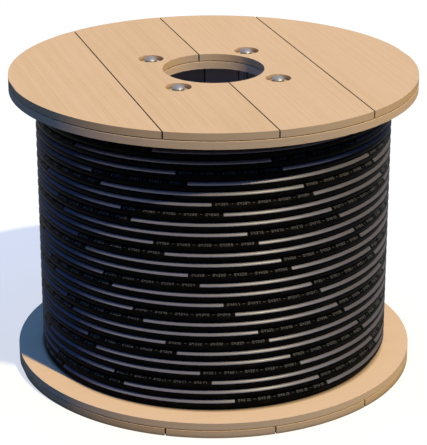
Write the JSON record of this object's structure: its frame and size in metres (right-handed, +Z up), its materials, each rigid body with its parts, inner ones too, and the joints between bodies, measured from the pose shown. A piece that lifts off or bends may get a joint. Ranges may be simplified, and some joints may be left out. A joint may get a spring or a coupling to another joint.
{
  "type": "cable drum",
  "caption": "Wooden cable drum standing on one flange and wound full with black cable, with a bore through both flanges for a spindle.",
  "frame": {"origin": "centre of the lower flange's underside, on the drum's axis", "axes": "+Z up along the drum's axis, the flange boards run along Y"},
  "size_m": [0.6299, 0.63, 0.4766],
  "materials": {
    "flange_boards": "planed softwood",
    "flange_discs": "sawn panel",
    "barrel_staves": "sawn softwood",
    "zinc_fasteners": "bright zinc",
    "cable_sheath": "satin black"
  },
  "bodies": {
    "root": {"upper_flange_board_1": "flange_boards", "upper_flange_board_2": "flange_boards", "upper_flange_board_3": "flange_boards", "upper_flange_board_4": "flange_boards", "upper_flange_disc": "flange_discs", "lower_flange_board_1": "flange_boards", "lower_flange_board_2": "flange_boards", "lower_flange_board_3": "flange_boards", "lower_flange_board_4": "flange_boards", "lower_flange_disc": "flange_discs", "barrel_stave_01": "barrel_staves", "barrel_stave_02": "barrel_staves", "barrel_stave_03": "barrel_staves", "barrel_stave_04": "barrel_staves", "barrel_stave_05": "barrel_staves", "barrel_stave_06": "barrel_staves", "barrel_stave_07": "barrel_staves", "barrel_stave_08": "barrel_staves", "barrel_stave_09": "barrel_staves", "barrel_stave_10": "barrel_staves", "barrel_stave_11": "barrel_staves", "barrel_stave_12": "barrel_staves", "barrel_stave_13": "barrel_staves", "barrel_stave_14": "barrel_staves", "barrel_stave_15": "barrel_staves", "barrel_stave_16": "barrel_staves", "tie_bolt_1": "zinc_fasteners", "tie_bolt_washer_1": "zinc_fasteners", "tie_bolt_nut_1": "zinc_fasteners", "tie_bolt_2": "zinc_fasteners", "tie_bolt_washer_2": "zinc_fasteners", "tie_bolt_nut_2": "zinc_fasteners", "tie_bolt_3": "zinc_fasteners", "tie_bolt_washer_3": "zinc_fasteners", "tie_bolt_nut_3": "zinc_fasteners", "tie_bolt_4": "zinc_fasteners", "tie_bolt_washer_4": "zinc_fasteners", "tie_bolt_nut_4": "zinc_fasteners", "cable_winding": "cable_sheath"}
  },
  "joints": []
}
